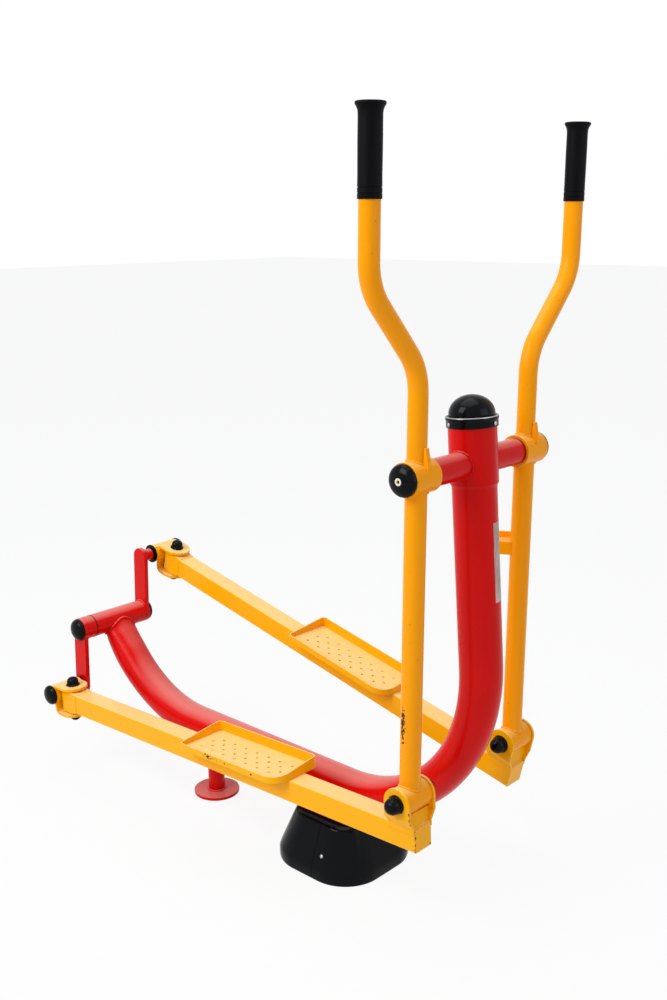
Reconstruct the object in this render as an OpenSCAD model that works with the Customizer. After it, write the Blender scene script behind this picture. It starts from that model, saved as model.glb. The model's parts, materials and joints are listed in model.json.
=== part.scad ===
// Outdoor cross trainer with swinging arms, pedal beams and a rear crank.
// Millimetres, +Z up, +X towards the head post, +Y to the user's left.
// The origin is on the ground, at the centre of the base flange.

/* [Main tube] */
// Outside diameter of the main tube
tube_d = 89; // [80:1:96]
// Wall of the main tube
tube_wall = 4; // [3:0.5:6]
// Height of the lower run's centreline
run_z = 170; // [160:1:190]
// Where the post's axis meets the lower run's axis
front_corner_x = 403; // [395:1:410]
// Where the rising rear run's axis meets the lower run's axis
rear_corner_x = -702; // [-710:1:-695]
// Centreline radius of the front bend
front_bend_r = 370; // [300:5:390]
// Centreline radius of the rear bend
rear_bend_r = 380; // [300:5:400]

/* [Head] */
// Arm pivot axis, forward of the base centre
pivot_x = 345; // [340:1:350]
// Arm pivot axis, above the ground
pivot_z = 980; // [960:1:1000]
// Wall of the sleeve round the post's top
sleeve_wall = 3.5; // [3:0.5:6]
// Length of the sleeve below the pivot axis
sleeve_below = 40; // [36:1:60]
// Top of the post above the pivot axis
post_above = 81; // [70:1:90]
// Outside diameter of the cross tube
cross_d = 54; // [48:1:60]
// Half length of the cross tube
cross_half = 140; // [134:1:141]
// Diameter of the pivot axle
axle_d = 30; // [25:1:34]
// How much wider the collar under the dome is than the sleeve
collar_over = 8; // [6:1:14]
// Height of the collar
collar_h = 20; // [18:1:26]
// Height of the dome above the collar
dome_h = 42; // [36:1:48]

/* [Swing arms] */
// Arm centre plane from the middle plane
arm_y = 178; // [176:1:184]
// Length of an arm from the pivot to the lower bolt
arm_len = 647; // [640:1:655]
// Outside diameter of the lower arm tube
arm_d = 42; // [38:1:46]
// Wall of the arm and handle tubes
arm_wall = 3; // [2.5:0.5:4]
// Outside diameter of the pivot hub
hub_d = 66; // [62:1:72]
// Length of the pivot hub
hub_len = 72; // [68:1:74]
// Outside diameter of the handle tube
handle_d = 38; // [34:1:40]
// Height of the handle's lower bend above the pivot
handle_low = 198; // [180:1:205]
// Height of the handle's upper bend above the pivot
handle_high = 349; // [340:1:355]
// Height of the handle's top above the pivot
handle_top = 644; // [600:1:680]
// How far the handle is splayed outward
handle_splay = 139; // [120:1:150]
// Centreline radius of the handle's bends
handle_bend_r = 110; // [90:5:150]
// Length of the hand grip
grip_len = 151; // [130:1:160]
// Outside diameter of the hand grip
grip_d = 42; // [41:0.5:46]
// Diameter of the collar at the grip's top
grip_collar_d = 52; // [48:1:56]
// Outside diameter of the lower bush
bush_d = 58; // [54:1:62]
// Length of the lower bush
bush_len = 71; // [66:1:74]
// Diameter of the lower pivot bolt
bolt_d = 16; // [14:1:18]
// How far the stop bracket sits below the pivot
stop_drop = 198; // [185:1:210]
// Height of the stop bracket's near side
stop_h = 28; // [24:1:36]
// Depth of the stop bracket, from its near side to its raised back flange
stop_w = 40; // [32:1:44]
// Rise of its back flange above its top
stop_flange = 13; // [8:1:16]
// Reach of the stop bracket from the arm
stop_reach = 50; // [40:1:55]
// Turn of the stop bracket from straight inwards towards the rear
stop_turn = 60; // [45:1:65]

/* [Crank] */
// Crank axis behind the base centre
crank_x = -843; // [-850:1:-838]
// Crank axis above the ground
crank_z = 378; // [370:1:385]
// Throw of the crank
crank_r = 158; // [150:1:160]
// Lean of the crank from upright at rest
crank_lean = 2; // [0:0.5:4]
// Outside diameter of the bearing housing
housing_d = 60; // [54:1:64]
// Half length of the bearing housing
housing_half = 82; // [78:1:84]
// Diameter of the crankshaft
shaft_d = 30; // [25:1:32]
// Length of the right hub sleeve, between the housing and the crank arm
crank_hub_right = 26.5; // [20:0.5:30]
// Length of the left hub sleeve, which is short because the left arm is close to the housing
crank_hub_left = 2; // [1:0.5:6]
// Thickness of a crank arm
crank_t = 12; // [10:1:14]
// Width of a crank arm
crank_w = 48; // [44:1:50]
// Length of the boss at the right crank arm's end
boss_right = 2; // [1:0.5:4]
// Diameter of that boss
boss_d = 32; // [28:1:36]

/* [Yokes] */
// Gap between the crank boss and the yoke's inner disc
shear_gap = 2.4; // [2:0.2:3]
// Thickness of the inner disc
disc_t = 4; // [3:0.5:5]
// Outside diameter of the yoke's hub
yoke_hub_d = 48; // [46:1:50]
// Length of the yoke's hub
yoke_hub_len = 86; // [78:1:90]
// Diameter of the crank pin
pin_d = 24; // [20:1:28]
// Swivel pin forward of the crank pin
swivel_fwd = 46; // [46:1:50]
// Diameter of the swivel pin
swivel_d = 18; // [16:1:20]
// Thickness of the yoke's plates
yoke_t = 7; // [6:1:8]
// Width of the yoke's strap, which makes its web and both ears
yoke_w = 74; // [70:1:78]
// Outside radius of the strap's lower bend
yoke_bend = 20; // [16:1:22]
// How far the web's back stands inside the front of the yoke's hub
web_sunk = 13; // [10:1:14]

/* [Pedal beams] */
// Beam height
beam_h = 50; // [46:1:52]
// Beam width
beam_w = 50; // [46:1:52]
// Wall of the beam
beam_wall = 3; // [2.5:0.5:4]
// Crank pin to lower bolt, measured along the beam
link_run = 1189; // [1185:1:1193]
// Lower bolt above the beam's centreline
bolt_rise = 77; // [74:1:80]
// Crank pin above the beam's centreline
pin_rise = 12; // [10:1:14]
// Beam end past the lower bolt
beam_past = 32; // [28:1:36]
// Length of the eye block
eye_len = 60; // [56:1:64]
// Height of the eye block
eye_h = 60; // [58:1:64]
// Flange thickness of the eye's bushes
flange_t = 2; // [1.5:0.5:3]
// Thickness of the clevis ears
ear_t = 6; // [5:0.5:8]
// Width of the clevis ears
ear_w = 64; // [60:1:70]

/* [Foot trays] */
// Start of the tray from the crank pin, along the beam
tray_start = 557; // [550:1:565]
// Length of the tray
tray_len = 318; // [300:1:330]
// Width of the tray
tray_w = 130; // [120:1:140]
// Wall height on the outer side of the right tray
tray_low = 15; // [12:1:18]
// Wall height on the other side
tray_high = 27; // [22:1:32]
// Sheet thickness of the tray
tray_t = 3; // [2.5:0.5:4]
// Hole diameter in the tray
hole_d = 6; // [5:0.5:8]
// Spacing of the holes along the tray
hole_pitch = 37; // [34:1:40]
// Spacing of the rows of holes
row_pitch = 18; // [16:1:20]

/* [Base] */
// Side of the square base plate, whose corners stay inside the cover
plate_side = 212; // [206:1:214]
// Thickness of the base plate
plate_t = 10; // [8:1:12]
// Bolt circle of the anchors
anchor_pcd = 220; // [215:1:225]
// Diameter of the anchor holes
anchor_d = 18; // [14:1:22]
// Diameter of the front leg
leg_d = 76; // [70:1:80]
// Half width of the square cover at the ground
cover_half = 134; // [132:1:140]
// Corner radius of the cover at the ground
cover_corner = 95; // [80:1:100]
// Height of the cover's upright skirt
cover_skirt = 22; // [14:1:26]
// Height of the cover's shoulder
cover_shoulder = 112; // [100:1:114]
// How far the shoulder is in from the skirt
cover_draft = 38; // [30:1:42]
// Shell thickness of the cover
cover_t = 3; // [2.5:0.5:4]
// Turn of the cover's seam from square to the lower run
cover_turn = 9; // [0:1:20]
// Rear leg behind the base centre
rear_leg_x = -445; // [-450:1:-440]
// Diameter of the rear leg
rear_leg_d = 42; // [38:1:46]
// Diameter of the rear foot
foot_d = 116; // [110:1:120]
// Thickness of the rear foot
foot_t = 8; // [6:1:10]

/* [Hidden] */
$fn = 64;
// Largest turn between two rings of a bent tube
bend_step = 7;
// Length over which the main tube's rear end is pinched
tube_pinch_len = 46;
// A little more than a cut needs
over = 1;
// Radial clearance of a shaft in its bearing
run_fit = 0.05;
// Clearance between faces that turn past each other
side_gap = 0.5;
// Clearance under a small piece that sits on another
seat = 0.3;
// Thickness of the bearings in the hubs and the crank housing
bearing_t = 14;
// Radial thickness of the bearings in the hubs
bearing_wall = 5.5;

// Points of the main tube's centreline, as [x, z]
front_corner = [front_corner_x, run_z];
rear_corner = [rear_corner_x, run_z];
head = [pivot_x, pivot_z];
crank = [crank_x, crank_z];
post_dir = unit(head - front_corner);
post_lean = atan2(-post_dir.x, post_dir.y);
post_end = head - (cross_d / 2 + 3) * post_dir;

// Height of a pivot hub's inner face, and of its outer face, from the middle plane
hub_in = arm_y - hub_len / 2;
hub_out = arm_y + hub_len / 2;
// Diameter of the bearing seats in a hub
hub_seat_d = hub_d - 2 * bearing_wall;
// Diameters of the sleeve round the post's top and of the collar on it
sleeve_d = tube_d + 2 * sleeve_wall;
collar_d = sleeve_d + collar_over;

// Crank pins at rest: the right one is at the bottom and the left one at the top
throw = crank_r * [sin(crank_lean), cos(crank_lean)];
pin_right = crank - throw;
pin_left = crank + throw;

// Lower bolts at rest, where the beam's circle meets the arm's circle
bolt_z = bolt_rise - pin_rise;
link_len = norm([link_run, bolt_z]);
bolt_right = meet(pin_right, head, link_len, arm_len);
bolt_left = meet(pin_left, head, link_len, arm_len);
link_angle = atan2(bolt_z, link_run);
tilt_right = heading(bolt_right - pin_right) - link_angle;
tilt_left = heading(bolt_left - pin_left) - link_angle;
lean_right = asin((head.x - bolt_right.x) / arm_len);
lean_left = asin((head.x - bolt_left.x) / arm_len);

// Places across the crank, yoke and beam, from the middle plane
function arm_in(side) = housing_half + side_gap + (side < 0 ? crank_hub_right : crank_hub_left);
function arm_face(side) = arm_in(side) + crank_t;
boss_end = arm_face(-1) + boss_right;
disc_in = boss_end + shear_gap;
yoke_in = disc_in + disc_t;
yoke_out = yoke_in + yoke_hub_len;
ear_in = eye_h / 2 + flange_t + 0.3;
ear_out = ear_in + yoke_t;
web_x = yoke_hub_d / 2 - web_sunk;
eye_back = swivel_fwd - 17;
eye_r = 13;
clevis_in = bush_len / 2 + side_gap;
clevis_out = clevis_in + ear_t;
beam_end = link_run + beam_past;

function unit(v) = v / norm(v);
function heading(v) = atan2(v.y, v.x);
function left_of(v) = [-v.y, v.x];

// The lower of the two points that lie la from a and lb from b
function meet(a, b, la, lb) =
  let (d = norm(b - a), along = (la * la - lb * lb + d * d) / (2 * d))
  a + along * unit(b - a) - sqrt(la * la - along * along) * left_of(unit(b - a));

function span_dir(p, i) = unit(p[i + 1] - p[i]);
function turn(p, i) =
  let (a = span_dir(p, i - 1), b = span_dir(p, i))
  atan2(a.x * b.y - a.y * b.x, a.x * b.x + a.y * b.y);

// Stations of a bent tube's centreline, as [point, heading], with a bend of radius r[i] at p[i]
function bend_stations(p, r, i) =
  let (t = turn(p, i),
       from = p[i] - r[i] * tan(abs(t) / 2) * span_dir(p, i - 1),
       c = from + sign(t) * r[i] * left_of(span_dir(p, i - 1)),
       steps = ceil(abs(t) / bend_step))
  [for (k = [0 : steps])
    let (a = heading(from - c) + t * k / steps)
    [c + r[i] * [cos(a), sin(a)], heading(span_dir(p, i - 1)) + t * k / steps]];
function stations(p, r, ease) =
  concat(
    [[p[0], heading(span_dir(p, 0))], [p[0] + ease * span_dir(p, 0), heading(span_dir(p, 0))]],
    [for (i = [1 : len(p) - 2]) each bend_stations(p, r, i)],
    [[p[len(p) - 1], heading(span_dir(p, len(p) - 2))]]
  );
// A ring of points round a station; pinch narrows it in the plane of the bends
function ring_points(s, radius, pinch, cope, sides) =
  [for (j = [0 : sides - 1])
    let (o = pinch * radius * cos(j * 360 / sides),
         q = radius * sin(j * 360 / sides),
         c = s[0] + cope(o, q) * [cos(s[1]), sin(s[1])] + o * [-sin(s[1]), cos(s[1])])
    [c.x, c.y, q]];

// A hollow tube in the XY plane along the points p. Its first ring is pinched, and shaped
// by cope(o, q) to the round piece that the tube starts from, over the length ease.
module swept_tube(p, r, d, wall, sides, ease, pinch, cope) {
  st = stations(p, r, ease);
  n = len(st);
  flat = function (o, q) 0;
  points = [
    for (radius = [d / 2, d / 2 - wall], k = [0 : n - 1])
      each ring_points(st[k], radius, k == 0 ? pinch : 1, k == 0 ? cope : flat, sides)
  ];
  at = function (layer, k, j) (layer * n + k) * sides + j % sides;
  polyhedron(points, [
    for (k = [0 : n - 2], j = [0 : sides - 1])
      each [
        [at(0, k, j), at(0, k + 1, j), at(0, k + 1, j + 1)],
        [at(0, k, j), at(0, k + 1, j + 1), at(0, k, j + 1)],
        [at(1, k, j), at(1, k + 1, j + 1), at(1, k + 1, j)],
        [at(1, k, j), at(1, k, j + 1), at(1, k + 1, j + 1)],
      ],
    for (j = [0 : sides - 1])
      each [
        [at(0, 0, j), at(0, 0, j + 1), at(1, 0, j + 1)],
        [at(0, 0, j), at(1, 0, j + 1), at(1, 0, j)],
        [at(0, n - 1, j), at(1, n - 1, j + 1), at(0, n - 1, j + 1)],
        [at(0, n - 1, j), at(1, n - 1, j), at(1, n - 1, j + 1)],
      ],
  ]);
}

// A solid or hollow profile, a rod along +Z and a tube along +Z
module ring(d, wall) {
  difference() {
    circle(d = d);
    if (wall > 0) circle(d = d - 2 * wall);
  }
}
module tube(d, wall, h) {
  linear_extrude(h) ring(d, wall);
}

// Turns a drawing in the XY plane into the XZ plane, or into the YZ plane
module upright_xz() {
  rotate([90, 0, 0]) children();
}
module upright_yz() {
  rotate([90, 0, 90]) children();
}
// A rod along Y between two places
module along_y(y0, y1, d) {
  translate([0, y0, 0]) rotate([-90, 0, 0]) cylinder(d = d, h = y1 - y0);
}
module tube_along_y(y0, y1, d, bore) {
  difference() {
    along_y(y0, y1, d);
    along_y(y0 - over, y1 + over, bore);
  }
}
module both_sides() {
  children();
  mirror([0, 1, 0]) children();
}
// side is -1 for the right and 1 for the left
module on_side(side) {
  if (side < 0) mirror([0, 1, 0]) children();
  else children();
}
// A dome cap with a straight skirt, standing on the XY plane
module dome_cap(d, h, skirt) {
  rise = h - skirt;
  ball = (d * d / 4 + rise * rise) / (2 * rise);
  cylinder(d = d, h = skirt);
  intersection() {
    translate([0, 0, h - ball]) sphere(r = ball);
    translate([0, 0, skirt]) cylinder(d = d, h = rise + over);
  }
}

// Frames: the head leans with the post, and each linkage part has its rest place
module at_head() {
  translate([pivot_x, 0, pivot_z]) rotate([0, -post_lean, 0]) children();
}
module at_crank() {
  translate([crank_x, 0, crank_z]) children();
}
module at_arm(side) {
  translate([pivot_x, 0, pivot_z])
    rotate([0, side < 0 ? lean_right : lean_left, 0])
      on_side(side) children();
}
module at_pin(side) {
  p = side < 0 ? pin_right : pin_left;
  translate([p.x, 0, p.y])
    rotate([0, side < 0 ? -tilt_right : -tilt_left, 0])
      children();
}
// At the crank pin, with the beam's centreline level with the arm's middle plane
module at_beam(side) {
  at_pin(side) on_side(side) translate([0, arm_y, -pin_rise]) children();
}

// Frame
module main_tube() {
  housing_r = housing_d / 2;
  color("#c80000")
    upright_xz()
      swept_tube(
        [crank, rear_corner, front_corner, post_end], [0, rear_bend_r, front_bend_r], tube_d, tube_wall,
        40, tube_pinch_len, 0.97 * housing_d / tube_d,
        function (o, q) sqrt(pow(housing_r + seat, 2) - o * o)
      );
}
module head_sleeve() {
  color("#c80000")
    at_head()
      difference() {
        translate([0, 0, -sleeve_below]) tube(sleeve_d, (sleeve_d - tube_d) / 2, sleeve_below + post_above);
        along_y(-sleeve_d, sleeve_d, cross_d);
      }
}
module cross_tube() {
  color("#c80000")
    at_head() tube_along_y(-cross_half, cross_half, cross_d, axle_d + 4);
}
module pivot_axle() {
  color("#8c8f92")
    at_head() {
      along_y(-hub_out + 6, hub_out - 6, axle_d);
      both_sides() along_y(cross_half - 24, cross_half - 4, axle_d + 4);
    }
}
module cap_collar() {
  color("#16171a")
    at_head()
      translate([0, 0, post_above - collar_h + 10]) {
        translate([0, 0, collar_h - 6]) tube(collar_d, (collar_d - tube_d) / 2 + 8, 6);
        tube(collar_d - 2, (collar_d - 2 - sleeve_d) / 2, collar_h - 10);
        translate([0, 0, collar_h - 10]) tube(collar_d - 2, (collar_d - 2 - tube_d) / 2 + 6, 4);
      }
}
module cap_dome() {
  color("#16171a")
    at_head() translate([0, 0, post_above + 10]) dome_cap(sleeve_d - 5, dome_h, 4);
}
module cap_screws() {
  color("#c9ccd0")
    at_head()
      for (a = [5, 125, 245])
        rotate([0, 0, a])
          translate([(collar_d - 2) / 2, 0, post_above + 7 - collar_h / 2])
            rotate([0, 90, 0])
              dome_cap(9, 3, 1);
}
module crank_housing() {
  color("#c80000")
    at_crank() {
      tube_along_y(bearing_t - housing_half, housing_half - bearing_t, housing_d, shaft_d + 8);
      both_sides() tube_along_y(housing_half - bearing_t, housing_half, housing_d, housing_d - 8);
    }
}
module crank_bearings() {
  color("#9a9da1")
    at_crank() both_sides()
      tube_along_y(housing_half - bearing_t, housing_half - 1, housing_d - 8, shaft_d + 2 * run_fit);
}
// The straight lower run of the main tube, which the legs are shaped to
module lower_run() {
  translate([rear_corner_x, 0, run_z]) rotate([0, 90, 0]) cylinder(d = tube_d, h = -2 * rear_corner_x);
}
module front_leg() {
  color("#c80000")
    difference() {
      translate([0, 0, plate_t]) tube(leg_d, tube_wall, run_z - plate_t);
      lower_run();
    }
}
module rounded_square(side, r) {
  square([side, side - 2 * r], center = true);
  square([side - 2 * r, side], center = true);
  for (x = [-1, 1], y = [-1, 1])
    translate([x, y] * (side / 2 - r)) circle(r = r);
}
module anchor_places() {
  for (a = [45 : 90 : 315])
    rotate([0, 0, a]) translate([anchor_pcd / 2, 0, 0]) children();
}
module base_plate() {
  color("#c80000")
    difference() {
      linear_extrude(plate_t) rounded_square(plate_side, 10);
      anchor_places() translate([0, 0, -over]) cylinder(d = anchor_d, h = plate_t + 2 * over);
    }
}
// Sections of the cover, as [how far in from the skirt, height]
cover_sections = [
  [1.5, 0], [0, 5], [0, cover_skirt], [3, cover_skirt + 9], [cover_draft, cover_shoulder],
  [cover_draft + 4, cover_shoulder + 5], [cover_draft + 10, cover_shoulder + 8.5],
  [cover_draft + 20, cover_shoulder + 10],
];
cover_top = cover_shoulder + 10;
// Distance from the middle to a rounded square's edge at the angle a
function square_edge(half, r, a) =
  let (b = abs(a - 90 * round(a / 90)), c = half - r, u = c * (cos(b) + sin(b)))
  tan(b) * half <= c ? half / cos(b) : u + sqrt(u * u - 2 * c * c + r * r);
// One half of the cover's shell, from one side of the seam to the other
module half_shell() {
  steps = 40;
  n = len(cover_sections) + 1;
  points = [
    for (inset = [0, cover_t], k = [0 : n - 1], j = [0 : steps])
      let (a = cover_turn - 90 + 180 * j / steps,
           s = k < n - 1 ? cover_sections[k] : [0, cover_top],
           d = k < n - 1 ? square_edge(cover_half - s[0] - inset, cover_corner - s[0] - inset, a) : leg_d / 2 + 1,
           z = k == 0 ? 0 : s[1] - (s[1] > cover_shoulder ? inset : 0))
      [d * cos(a), d * sin(a), z]
  ];
  at = function (layer, k, j) (layer * n + k) * (steps + 1) + j;
  polyhedron(points, [
    for (k = [0 : n - 2], j = [0 : steps - 1])
      each [
        [at(0, k, j), at(0, k + 1, j), at(0, k + 1, j + 1)],
        [at(0, k, j), at(0, k + 1, j + 1), at(0, k, j + 1)],
        [at(1, k, j), at(1, k + 1, j + 1), at(1, k + 1, j)],
        [at(1, k, j), at(1, k, j + 1), at(1, k + 1, j + 1)],
      ],
    for (j = [0 : steps - 1])
      each [
        [at(0, 0, j), at(0, 0, j + 1), at(1, 0, j + 1)],
        [at(0, 0, j), at(1, 0, j + 1), at(1, 0, j)],
        [at(0, n - 1, j), at(1, n - 1, j + 1), at(0, n - 1, j + 1)],
        [at(0, n - 1, j), at(1, n - 1, j), at(1, n - 1, j + 1)],
      ],
    for (k = [0 : n - 2])
      each [
        [at(0, k, 0), at(1, k + 1, 0), at(0, k + 1, 0)],
        [at(0, k, 0), at(1, k, 0), at(1, k + 1, 0)],
        [at(0, k, steps), at(0, k + 1, steps), at(1, k + 1, steps)],
        [at(0, k, steps), at(1, k + 1, steps), at(1, k, steps)],
      ],
  ]);
}
module half_cover(front) {
  color("#16171a")
    rotate([0, 0, front ? 0 : 180])
      translate([0.2 * cos(cover_turn), 0.2 * sin(cover_turn), 0])
        half_shell();
}
module cover_screws() {
  slope = atan2(cover_draft - 3, cover_shoulder - cover_skirt - 9);
  z = 57;
  y = cover_half - 3 - (z - cover_skirt - 9) * tan(slope);
  color("#c9ccd0")
    for (a = [0, 180])
      rotate([0, 0, a])
        translate([41, -y, z])
          rotate([90 - slope, 0, 0])
            translate([0, 0, seat]) dome_cap(9, 3, 1);
}
module rear_leg() {
  color("#c80000")
    difference() {
      translate([rear_leg_x, 0, foot_t]) tube(rear_leg_d, arm_wall, run_z - foot_t);
      lower_run();
    }
}
module rear_foot() {
  color("#c80000") translate([rear_leg_x, 0, 0]) cylinder(d = foot_d, h = foot_t);
}

// Crank
module crank_shaft() {
  color("#9a9da1") at_crank() along_y(-arm_face(-1), arm_face(1), shaft_d);
}
module crank_hubs() {
  color("#c80000")
    at_crank()
      for (side = [-1, 1])
        on_side(side) tube_along_y(housing_half + side_gap, arm_in(side), housing_d, shaft_d);
}
// A crank arm from the shaft to its pin end; way is 1 for up and -1 for down
module crank_arm(side, way) {
  color("#c80000")
    at_crank()
      on_side(side)
        rotate([0, way > 0 ? crank_lean : 180 + crank_lean, 0])
          difference() {
            union() {
              along_y(arm_in(side), arm_face(side), housing_d);
              translate([-crank_w / 2, arm_in(side), 0]) cube([crank_w, crank_t, crank_r]);
              translate([0, 0, crank_r]) along_y(arm_in(side), arm_face(side), crank_w);
              translate([0, 0, crank_r]) along_y(arm_face(side), boss_end, boss_d);
            }
            along_y(0, boss_end, shaft_d);
          }
}
module crank_arm_right() {
  crank_arm(-1, -1);
}
module crank_arm_left() {
  crank_arm(1, 1);
}
module crank_caps() {
  color("#16171a")
    at_crank()
      for (side = [-1, 1])
        on_side(side) translate([0, arm_face(side), 0]) rotate([-90, 0, 0]) dome_cap(housing_d - 2, 17, 4);
}

// Yokes
module yoke(side) {
  strap_in = arm_y - yoke_w / 2;
  foot_z = -pin_rise - ear_out + yoke_bend;
  color("#ffb400") {
    at_pin(side) on_side(side)
      difference() {
        union() {
          along_y(yoke_in, yoke_out, yoke_hub_d);
          translate([web_x, strap_in, foot_z]) cube([yoke_t, yoke_w, 2 * ear_out - yoke_bend]);
          translate([web_x + yoke_bend, 0, foot_z])
            difference() {
              intersection() {
                along_y(strap_in, strap_in + yoke_w, 2 * yoke_bend);
                translate([-yoke_bend, strap_in, -yoke_bend]) cube([yoke_bend, yoke_w, yoke_bend]);
              }
              along_y(strap_in - over, strap_in + yoke_w + over, 2 * (yoke_bend - yoke_t));
            }
        }
        along_y(yoke_in - over, yoke_out + over, pin_d);
      }
    at_beam(side)
      for (s = [-1, 1])
        translate([0, 0, s > 0 ? ear_in : -ear_out])
          let (back = s > 0 ? web_x : web_x + yoke_bend)
            difference() {
              union() {
                translate([back, -yoke_w / 2, 0]) cube([swivel_fwd - back, yoke_w, yoke_t]);
                translate([swivel_fwd, 0, 0]) cylinder(d = yoke_w, h = yoke_t);
              }
              translate([swivel_fwd, 0, -over]) cylinder(d = swivel_d, h = yoke_t + 2 * over);
              translate([back - yoke_w, -yoke_w, -over]) cube([yoke_w, 2 * yoke_w, yoke_t + 2 * over]);
            }
  }
}
module crank_pin(side) {
  color("#9a9da1") at_pin(side) on_side(side) along_y(yoke_in, yoke_out, pin_d);
}
module yoke_caps(side) {
  color("#16171a") {
    at_pin(side) on_side(side) {
      along_y(disc_in, yoke_in, yoke_hub_d + 2);
      translate([0, yoke_out, 0]) rotate([-90, 0, 0]) dome_cap(yoke_hub_d + 4, 15, 4);
    }
    at_beam(side)
      translate([swivel_fwd, 0, 0]) {
        translate([0, 0, ear_out]) dome_cap(36, 22, 13);
        mirror([0, 0, 1]) translate([0, 0, ear_out]) dome_cap(34, 20, 9);
      }
  }
}
module swivel_pin(side) {
  color("#9a9da1")
    at_beam(side)
      translate([swivel_fwd, 0, -ear_out]) cylinder(d = swivel_d, h = 2 * ear_out);
}

// Pedal beams
module beam(side) {
  color("#ffb400")
    at_beam(side)
      translate([eye_back + eye_len, 0, 0])
        rotate([90, 0, 90])
          difference() {
            linear_extrude(beam_end - eye_back - eye_len) rounded_rect(beam_w, beam_h, 3);
            translate([0, 0, -over])
              linear_extrude(beam_end - eye_back - eye_len - beam_wall + over)
                rounded_rect(beam_w - 2 * beam_wall, beam_h - 2 * beam_wall, 1);
          }
}
module rounded_rect(w, h, r) {
  square([w, h - 2 * r], center = true);
  square([w - 2 * r, h], center = true);
  for (x = [-1, 1], y = [-1, 1])
    translate([x * (w / 2 - r), y * (h / 2 - r)]) circle(r = r);
}
module beam_eye(side) {
  color("#ffb400")
    at_beam(side)
      difference() {
        upright_xz()
          linear_extrude(beam_w, center = true)
            polygon([
              [eye_back, -eye_h / 2], [eye_back + eye_len - 24, -eye_h / 2],
              [eye_back + eye_len, -beam_h / 2], [eye_back + eye_len, beam_h / 2],
              [eye_back + eye_len - 24, eye_h / 2], [eye_back, eye_h / 2],
            ]);
        translate([swivel_fwd, 0, -eye_h]) cylinder(r = eye_r, h = 2 * eye_h);
      }
}
module eye_bushes(side) {
  color("#b5893f")
    at_beam(side)
      for (s = [0, 1])
        mirror([0, 0, s])
          translate([swivel_fwd, 0, 0])
            difference() {
              union() {
                translate([0, 0, eye_h / 2 - 20]) cylinder(r = eye_r, h = 20);
                translate([0, 0, eye_h / 2]) cylinder(d = 32, h = flange_t);
              }
              cylinder(d = swivel_d + 2 * run_fit, h = eye_h);
            }
}
// One clevis ear in the XZ plane, from the beam's top corner to round the bolt
module ear_outline(w) {
  translate([0, bolt_rise]) circle(d = w);
  translate([-w / 2, beam_h / 2 - 10]) square([w, bolt_rise - beam_h / 2 + 10]);
}
module clevis(side) {
  color("#ffb400")
    at_beam(side)
      translate([link_run, 0, 0])
        difference() {
          union() {
            both_sides()
              intersection() {
                upright_xz() linear_extrude(2 * arm_y, center = true) ear_outline(ear_w);
                upright_ear();
              }
            closing_plate();
          }
          translate([0, 0, bolt_rise]) along_y(-arm_y, arm_y, bolt_d);
        }
}
// The ear's plate seen from the front: up the beam's side, flared, then upright beside the bush
flare_z = bolt_rise - bush_d / 2 - 2;
module upright_ear() {
  b = beam_w / 2;
  upright_yz()
    linear_extrude(2 * ear_w, center = true)
      polygon([
        [b, beam_h / 2 - 10], [b + ear_t - 2, beam_h / 2 - 10], [b + ear_t - 2, beam_h / 2 + 2],
        [clevis_out, flare_z], [clevis_out, bolt_rise + ear_w],
        [clevis_in, bolt_rise + ear_w], [clevis_in, flare_z],
        [b - 2, beam_h / 2 + 4], [b - 2, beam_h / 2], [b, beam_h / 2],
      ]);
}
// The plate that closes the clevis in front: it leans back from the beam's end to just under
// the bush, and its sides follow the flared parts of the ears
module closing_plate() {
  foot = beam_h / 2;
  top = bolt_rise - bush_d / 2 + 7;
  difference() {
    intersection() {
      upright_xz()
        linear_extrude(2 * arm_y, center = true)
          polygon([[20, foot], [27, foot], [16, top], [9, top]]);
      upright_yz()
        linear_extrude(2 * ear_w, center = true)
          polygon([
            [2 - beam_w / 2, foot], [beam_w / 2 - 2, foot], [beam_w / 2 - 2, foot + 4],
            [clevis_in, flare_z], [clevis_in, top + over], [-clevis_in, top + over], [-clevis_in, flare_z],
            [2 - beam_w / 2, foot + 4],
          ]);
    }
    translate([0, 0, bolt_rise]) along_y(-arm_y, arm_y, bush_d + 4);
  }
}
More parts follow.
